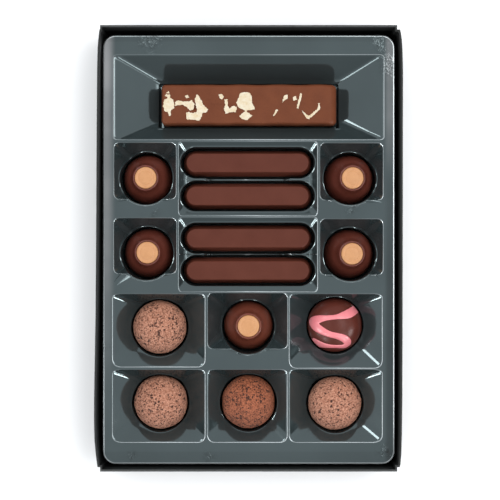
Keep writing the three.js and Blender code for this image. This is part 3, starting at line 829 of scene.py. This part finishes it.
# Length, width and height along a baton's section
BATON_SECTION = [[65.2, 12.1, 0.0], [66.2, 13.1, 0.25], [66.6, 13.5, 1.1], [66.3, 13.2, 3.0],
                 [65.3, 12.2, 5.2], [64.2, 11.0, 7.2], [63.1, 9.9, 8.9], [62.75, 9.5, 9.3],
                 [62.3, 9.05, 9.47], [61.6, 8.4, 9.5], [60.5, 7.3, 9.5], [57.5, 4.3, 9.5]]
BATON_REST_Z = 12.8
BATON_LUMP = 0.04


def add_batons():
    """A stack of round-ended outlines whose length, width and height follow one smooth section."""
    section = smooth_path(BATON_SECTION, 46)
    places = turns(9, 40, 12)
    rests = [(shape["seat_x"], y) for shape in BATON_RECESSES for y in shape["seats"]]
    for i, centre in enumerate(rests, start=1):
        rings = np.stack([np.column_stack([stadium(places, centre, (length - width) / 2, width / 2),
                                           np.full(len(places), z)]) for length, width, z in section])
        lumps = BATON_LUMP * waves(rings + 20 * i, 14, 10, SEED + i) * (rings[..., 2] > 1)
        rings[..., 2] += BATON_REST_Z + lumps
        name = "baton_body_" + str(i)
        add_piece(name, *closed_body(rings), BATON, "baton_chocolate", ("baton_" + str(i),))


BAR_CENTRE = (0.25, 73.6)
BAR_REST_Z = 12.7
BAR_TOP = 25.7
BAR_CORNER = 2.0
BAR_END_SLANT = 2.0
BAR_WAVE = 0.14
BAR_LUMP = 0.1
BAR_SINK = 0.12
# Place, radii and depth of the hollow in the bar's top
BAR_HOLLOW = {"place": (-27.9, 72.1), "radii": (1.6, 1.3), "depth": 1.8}
# Length, width and height along the bar's section
BAR_SECTION = [[88.2, 19.2, 0.0], [89.2, 20.2, 0.3], [89.6, 20.6, 1.2], [89.6, 20.6, 6.0],
               [89.4, 20.4, 11.0], [89.0, 19.9, 12.0], [88.2, 19.0, 12.7], [87.2, 18.0, 12.95],
               [85.6, 16.4, 13.0], [80.0, 10.8, 13.0], [74.0, 4.8, 13.0], [70.0, 0.8, 13.0]]


def add_bar():
    """A stack of rounded rectangles on a smooth section, with shallow waves and one hollow on top."""
    section = smooth_path(BAR_SECTION, 70)
    places = turns(7, 80, 20)
    rings = []
    for length, width, z in section:
        x = (BAR_CENTRE[0] - length / 2, BAR_CENTRE[0] + length / 2)
        y = (BAR_CENTRE[1] - width / 2, BAR_CENTRE[1] + width / 2)
        outline = rectangle(places, x, y, min(BAR_CORNER, width / 2.2))
        rings.append(np.column_stack([outline, np.full(len(places), z)]))
    rings = np.array(rings)
    end = np.clip((rings[..., 0] - 36) / 8, 0, 1) * np.clip((rings[..., 2] - 9.5) / 3.4, 0, 1) ** 1.5
    rings[..., 0] -= BAR_END_SLANT * end
    high = np.clip(rings[..., 2] / 12, 0, 1)
    rings[..., 1] += BAR_WAVE * high * waves(rings[..., :1], 24, 6, SEED)
    away = (rings[..., :2] - np.array(BAR_HOLLOW["place"])) / np.array(BAR_HOLLOW["radii"])
    hollow = BAR_HOLLOW["depth"] * np.exp(-away[..., 0] ** 2 - away[..., 1] ** 2)
    lumps = BAR_LUMP * waves(rings, 10, 14, SEED + 3)
    rings[..., 2] += BAR_REST_Z + high ** 4 * (lumps - BAR_SINK - hollow)
    add_piece("bar_body", *closed_body(rings), MILK, "milk_chocolate", ("nougat_bar",))


# Outlines of the nougat in the bar's top, from the middle of the bar
SHARDS = {
    "nougat_shard_1": [[-42.9, 4.4], [-41.2, 6.8], [-40.4, 4.9], [-40.3, 3.4], [-38.8, 2.3], [-38.3, 1.0],
                       [-38.3, -1.9], [-40.0, -3.3], [-39.9, -5.4], [-40.6, -6.2], [-41.8, -4.2],
                       [-43.4, -3.2], [-43.9, -0.6]],
    "nougat_shard_2": [[-38.0, -0.8], [-37.6, 1.3], [-36.3, 1.9], [-33.4, 1.5], [-30.8, 1.3], [-29.2, 2.2],
                       [-27.8, 0.0], [-28.3, -2.4], [-30.0, -3.2], [-32.1, -1.5], [-33.4, -0.2],
                       [-36.0, -0.5]],
    "nougat_shard_3": [[-27.8, 2.2], [-26.4, 5.0], [-24.6, 2.7], [-23.3, -0.2], [-20.9, -2.6],
                       [-21.7, -4.1], [-23.5, -4.6], [-24.4, -6.7], [-25.4, -8.4], [-31.8, -7.6],
                       [-32.2, -4.1], [-28.2, -4.5], [-26.6, -3.6], [-26.9, -0.9]],
    "nougat_shard_4": [[-12.6, 2.6], [-11.0, 2.4], [-10.9, -0.6], [-9.9, -2.4], [-8.3, -0.8], [-6.3, -1.2],
                       [-6.7, -4.0], [-9.8, -4.2], [-12.0, -4.9], [-12.8, -2.4], [-12.2, -0.6]],
    "nougat_shard_5": [[-6.6, 0.8], [-5.2, 3.6], [-4.6, 5.6], [-2.6, 6.3], [0.1, 5.8], [1.3, 4.3],
                       [1.6, 0.3], [3.3, -2.6], [-1.0, -3.3], [-0.6, -4.3], [1.9, -5.8], [-0.9, -8.1],
                       [-3.2, -7.8], [-5.1, -6.1], [-1.9, -3.4], [-4.4, -2.2], [-5.6, -1.2]],
    "nougat_shard_6": [[26.9, -3.3], [27.9, -3.9], [30.4, -6.0], [32.6, -4.2], [35.2, -2.1], [35.3, 0.4],
                       [36.2, 0.4], [36.3, -2.5], [33.5, -5.0], [30.6, -7.6], [29.4, -7.2]],
}
CRUMBS = [
    [[-32.6, 4.2], [-31.4, 4.9], [-30.6, 3.6], [-31.8, 3.0]],
    [[-15.5, 4.9], [-13.9, 5.3], [-12.9, 3.9], [-13.6, 2.4], [-15.1, 3.2]],
    [[12.2, -6.4], [13.5, -5.4], [14.9, -2.9], [13.9, -2.7], [12.8, -4.6]],
    [[17.6, 4.2], [19.6, 4.8], [19.9, 3.1], [17.4, 1.4], [16.7, 0.6], [17.3, 2.4]],
    [[22.2, 3.6], [24.0, 4.1], [24.4, 2.3], [22.8, 1.7]],
    [[26.2, 5.8], [27.2, 5.3], [25.2, -2.4], [24.2, -2.0]],
]
SHARD_STEP = 0.45
SHARD_NICK = 0.13
SHARD_RISE = 0.08
SHARD_LUMP = 0.1
SHARD_DEPTH = 1.6


def shard(outline, seed):
    """A flat-topped sliver set in the bar: its outline cut by short random nicks, a skirt that goes
    down into the bar and a top a little above it."""
    corners = np.array(outline)
    closed = np.vstack([corners, corners[:1]])
    along = np.concatenate([[0], np.cumsum(np.linalg.norm(np.diff(closed, axis=0), axis=1))])
    count = int(along[-1] / SHARD_STEP)
    t = np.linspace(0, along[-1], count, endpoint=False)
    edge = np.column_stack([np.interp(t, along, closed[:, 0]), np.interp(t, along, closed[:, 1])])
    nick = np.random.default_rng(seed).normal(0, SHARD_NICK, edge.shape)
    edge = edge + nick + np.array(BAR_CENTRE)
    if (edge[:, 0] * np.roll(edge[:, 1], -1) - edge[:, 1] * np.roll(edge[:, 0], -1)).sum() < 0:
        edge = edge[::-1]
    top = BAR_TOP + SHARD_RISE + SHARD_LUMP * waves(edge, 3, 8, seed)
    foot = np.column_stack([edge, np.full(count, BAR_TOP - SHARD_DEPTH)])
    lid = np.column_stack([edge, top])
    faces = ring_faces(2, count).tolist()
    faces.append(list(range(count))[::-1])
    triangles = tessellate_polygon([[(*p, 0.0) for p in edge]])
    faces += [[i + count for i in triangle] for triangle in triangles]
    return np.concatenate([foot, lid]), faces


def add_nougat():
    """Each large piece of nougat on its own, and the smallest ones together."""
    for i, (name, outline) in enumerate(SHARDS.items()):
        piece = add_piece(name, *shard(outline, SEED + i), NOUGAT, "nougat", ("nougat_" + name[-1],))
        face_outwards(piece, flat=True)
    points, faces, count = [], [], 0
    for i, outline in enumerate(CRUMBS):
        some, sides = shard(outline, SEED + 20 + i)
        points.append(some)
        faces += [[j + count for j in side] for side in sides]
        count += len(some)
    face_outwards(add_piece("nougat_crumbs", np.concatenate(points), faces, NOUGAT, "nougat"), flat=True)


BALL_RADIUS = 14.05
BALL_MIDDLE = 16.45
BALL_LUMP = 0.13
BALL_GRAIN = 0.05
BALL_SINK = 0.3


def add_truffles():
    """A sphere whose radius has shallow lumps and a fine grain."""
    columns = np.linspace(0, 2 * np.pi, 170, endpoint=False)
    angle = np.linspace(0.02, np.pi - 0.02, 110)
    profile = np.column_stack([np.sin(angle), -np.cos(angle)])
    shapes = [BALL_POCKETS[0], *BALL_POCKETS[2:]]
    for i, (shape, powder) in enumerate(zip(shapes, POWDERS), start=1):
        unit = turned(profile, columns)
        spot = unit * BALL_RADIUS + 50 * i
        lumps = BALL_LUMP * waves(spot, 11, 12, SEED + i)
        grain = BALL_GRAIN * waves(spot, 1.7, 60, SEED + 7 * i)
        radius = BALL_RADIUS - BALL_SINK + lumps + grain
        rings = unit * np.minimum(radius, BALL_RADIUS)[..., None]
        rings += np.array([*shape["centre"], BALL_MIDDLE])
        add_piece("truffle_body_" + str(i), *closed_body(rings), powder, "truffle_coating",
                  ("truffle_" + str(i),))


GLAZED_MIDDLE = 15.4
GLAZED_HEIGHT = 0.93 * BALL_RADIUS
# Radius and height along the glazed dome's underside
GLAZED_FOOT = [[0.4, 2.4], [8.6, 2.4], [10.4, 3.2], [12.2, 5.5], [13.4, 10.0], [13.9, 13.0]]


def glazed_height(distance):
    """Height above the middle level: the top's height times a rounded power of the distance's share."""
    share = np.clip(distance / BALL_RADIUS, 0, 1)
    return GLAZED_HEIGHT * (1 - share ** 2.3) ** (1 / 2.1)


# Place from the dome's middle and width, along the poured stream
STREAM = [[12.4, 8.9, 4.4], [10.2, 8.1, 4.3], [7.0, 6.5, 4.6], [3.5, 5.5, 3.6], [-0.1, 4.8, 2.4],
          [-4.6, 4.3, 2.6], [-8.1, 3.7, 3.7], [-11.0, 2.3, 4.6], [-10.1, -0.3, 4.4], [-7.2, -2.3, 3.8],
          [-3.4, -4.0, 3.1], [0.4, -4.9, 3.2], [4.1, -6.3, 3.9], [6.1, -8.5, 3.9], [4.3, -10.4, 2.3],
          [-0.4, -10.5, 1.7], [-4.9, -10.2, 2.3], [-8.4, -9.6, 3.6], [-11.0, -8.8, 4.4],
          [-13.0, -8.2, 4.8]]
STREAM_STEPS = 260
STREAM_TAPER = 9
STREAM_HEIGHT = 0.55
STREAM_REACH = 0.985 * BALL_RADIUS


def add_zigzag_dome():
    """A turned dome, and on it a stream: a low arched section carried along the zigzag path and kept
    within the dome's edge."""
    centre = np.array([*BALL_POCKETS[1]["centre"], 0.0])
    rise = np.cos(np.linspace(0, np.pi / 2, 40)) * BALL_RADIUS
    upper = np.column_stack([rise, GLAZED_MIDDLE + glazed_height(rise)])[:-1]
    profile = np.vstack([smooth_path(GLAZED_FOOT, 16), upper, [[0.25, upper[-1, 1] + 0.002]]])
    add_piece("glazed_dome", *closed_body(turned(profile) + centre), GLOSSY, "milk_chocolate",
              ("zigzag_dome",))
    path = smooth_path(STREAM, STREAM_STEPS)
    tangent = np.gradient(path[:, :2], axis=0)
    tangent /= np.linalg.norm(tangent, axis=1, keepdims=True)
    side = np.column_stack([-tangent[:, 1], tangent[:, 0]])
    step = np.arange(STREAM_STEPS)
    ends = np.sqrt(np.clip(np.minimum(step, step[::-1]) / STREAM_TAPER, 0.03, 1))
    arch = np.linspace(0, np.pi, 15)
    offset = np.concatenate([0.5 * np.cos(arch), np.linspace(-0.5, 0.5, 7)[1:-1]])
    lift = STREAM_HEIGHT * np.concatenate([np.sin(arch) ** 0.8, np.full(5, -0.6)])
    width = path[:, 2] * ends
    spot = path[:, None, :2] + side[:, None, :] * (width[:, None] * offset)[..., None]
    far = np.linalg.norm(spot, axis=-1)
    spot *= np.minimum(1, STREAM_REACH / np.maximum(far, 0.01))[..., None]
    z = GLAZED_MIDDLE + glazed_height(np.linalg.norm(spot, axis=-1)) + lift * ends[:, None] ** 0.5
    rings = np.concatenate([spot, z[..., None]], axis=-1) + centre
    face_outwards(add_piece("pink_stream", *closed_body(rings), PINK, "nougat"), flat=False)


def dress_card():
    """The card keeps its solid, in a card material."""
    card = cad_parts["card_box"]
    card.data.materials.clear()
    card.data.materials.append(CARD)


# Studio

FLOOR_REACH = 3.0
FLOOR_TONE = 0.94
# Name, azimuth, elevation, distance, size and radiance of each soft panel
PANELS = [("right_panel", 12, 64.5, 2.2, (1.1, 0.8), 4.7)]
# The same for the narrow strips that only give the shine along the film's edges
STRIPS = [
    ("near_right_strip", -25, 21, 1.7, (0.5, 0.48), 30),
    ("near_left_strip", 205, 21, 1.7, (0.5, 0.48), 30),
    ("near_right_lamp", -58, 23, 1.7, (0.34, 0.34), 30),
    ("near_left_lamp", 238, 23, 1.7, (0.34, 0.34), 30),
    ("near_right_spot", -55, 46, 1.7, (0.7, 0.35), 9),
    ("near_left_spot", 235, 46, 1.7, (0.7, 0.35), 9),
    ("far_left_strip", 137, 39, 1.7, (0.6, 0.3), 14),
    ("right_strip", 0, 68, 1.7, (0.8, 0.2), 4.5),
    ("left_strip", 180, 68, 1.7, (0.8, 0.2), 4.5),
    ("far_strip", 90, 68, 1.7, (0.8, 0.2), 4.5),
]


def add_floor():
    """A level square, its sides twice FLOOR_REACH long."""
    mesh = bpy.data.meshes.new("floor")
    corners = [(x * FLOOR_REACH, y * FLOOR_REACH, 0) for x, y in ((-1, -1), (1, -1), (1, 1), (-1, 1))]
    mesh.from_pydata(corners, [], [(0, 1, 2, 3)])
    floor = bpy.data.objects.new("floor", mesh)
    bpy.context.scene.collection.objects.link(floor)
    paint = bpy.data.materials.new("pale_floor")
    paint.use_nodes = True
    shader = paint.node_tree.nodes["Principled BSDF"]
    shader.inputs["Base Color"].default_value = (FLOOR_TONE, FLOOR_TONE, FLOOR_TONE, 1)
    shader.inputs["Roughness"].default_value = 0.9
    shader.inputs["Specular IOR Level"].default_value = 0.1
    mesh.materials.append(paint)


def add_light(name, azimuth, elevation, distance, size, radiance, only_shine):
    """A soft panel that faces the box from a direction; azimuth is from +X towards +Y, in degrees."""
    panel = bpy.data.lights.new(name, "AREA")
    panel.shape = "RECTANGLE"
    panel.size, panel.size_y = size
    panel.energy = radiance * size[0] * size[1] * math.pi
    light = bpy.data.objects.new(name, panel)
    a, e = math.radians(azimuth), math.radians(elevation)
    light.location = (distance * math.cos(e) * math.cos(a), distance * math.cos(e) * math.sin(a),
                      distance * math.sin(e))
    light.rotation_euler = (math.pi / 2 - e, 0, a + math.pi / 2)
    light.visible_diffuse = not only_shine
    bpy.context.scene.collection.objects.link(light)


def add_room():
    """Even light from all round, less of it from low on the near side, where the room is dark."""
    world = bpy.data.worlds.new("pale_room")
    world.use_nodes = True
    tree = world.node_tree
    sky = tree.nodes["Background"]
    sky.inputs["Color"].default_value = (0.96, 0.98, 1.0, 1)
    axes = node(tree, "SeparateXYZ", {}, {0: node(tree, "TexCoord").outputs["Generated"]})
    near = ramp(tree, axes.outputs[1], 0.1, -0.75)
    low = ramp(tree, axes.outputs[2], 0.62, 0.25)
    dark = times(tree, times(tree, near, low), ROOM_LIGHT - NEAR_LIGHT)
    tree.links.new(minus(tree, ROOM_LIGHT, dark), sky.inputs["Strength"])
    bpy.context.scene.world = world


def add_studio():
    """The room's own light, the panels, and the strips, which light no matt surface."""
    add_room()
    for panel in PANELS:
        add_light(*panel, only_shine=False)
    for strip in STRIPS:
        add_light(*strip, only_shine=True)


def add_camera():
    """A camera that looks straight down, its lens from the picture's width at its distance."""
    view = bpy.data.cameras.new("camera")
    view.sensor_width = SENSOR_WIDTH
    view.lens = SENSOR_WIDTH * PICTURE_DISTANCE / PICTURE_WIDTH
    view.clip_start = 0.01
    camera = bpy.data.objects.new("camera", view)
    camera.location = [value * MM for value in CAMERA_PLACE]
    bpy.context.scene.collection.objects.link(camera)
    bpy.context.scene.camera = camera
    bpy.context.scene.view_settings.view_transform = "Standard"


add_camera()
dress_card()
add_tray()
add_bar()
add_nougat()
add_batons()
add_domes()
add_truffles()
add_zigzag_dome()
add_floor()
add_studio()
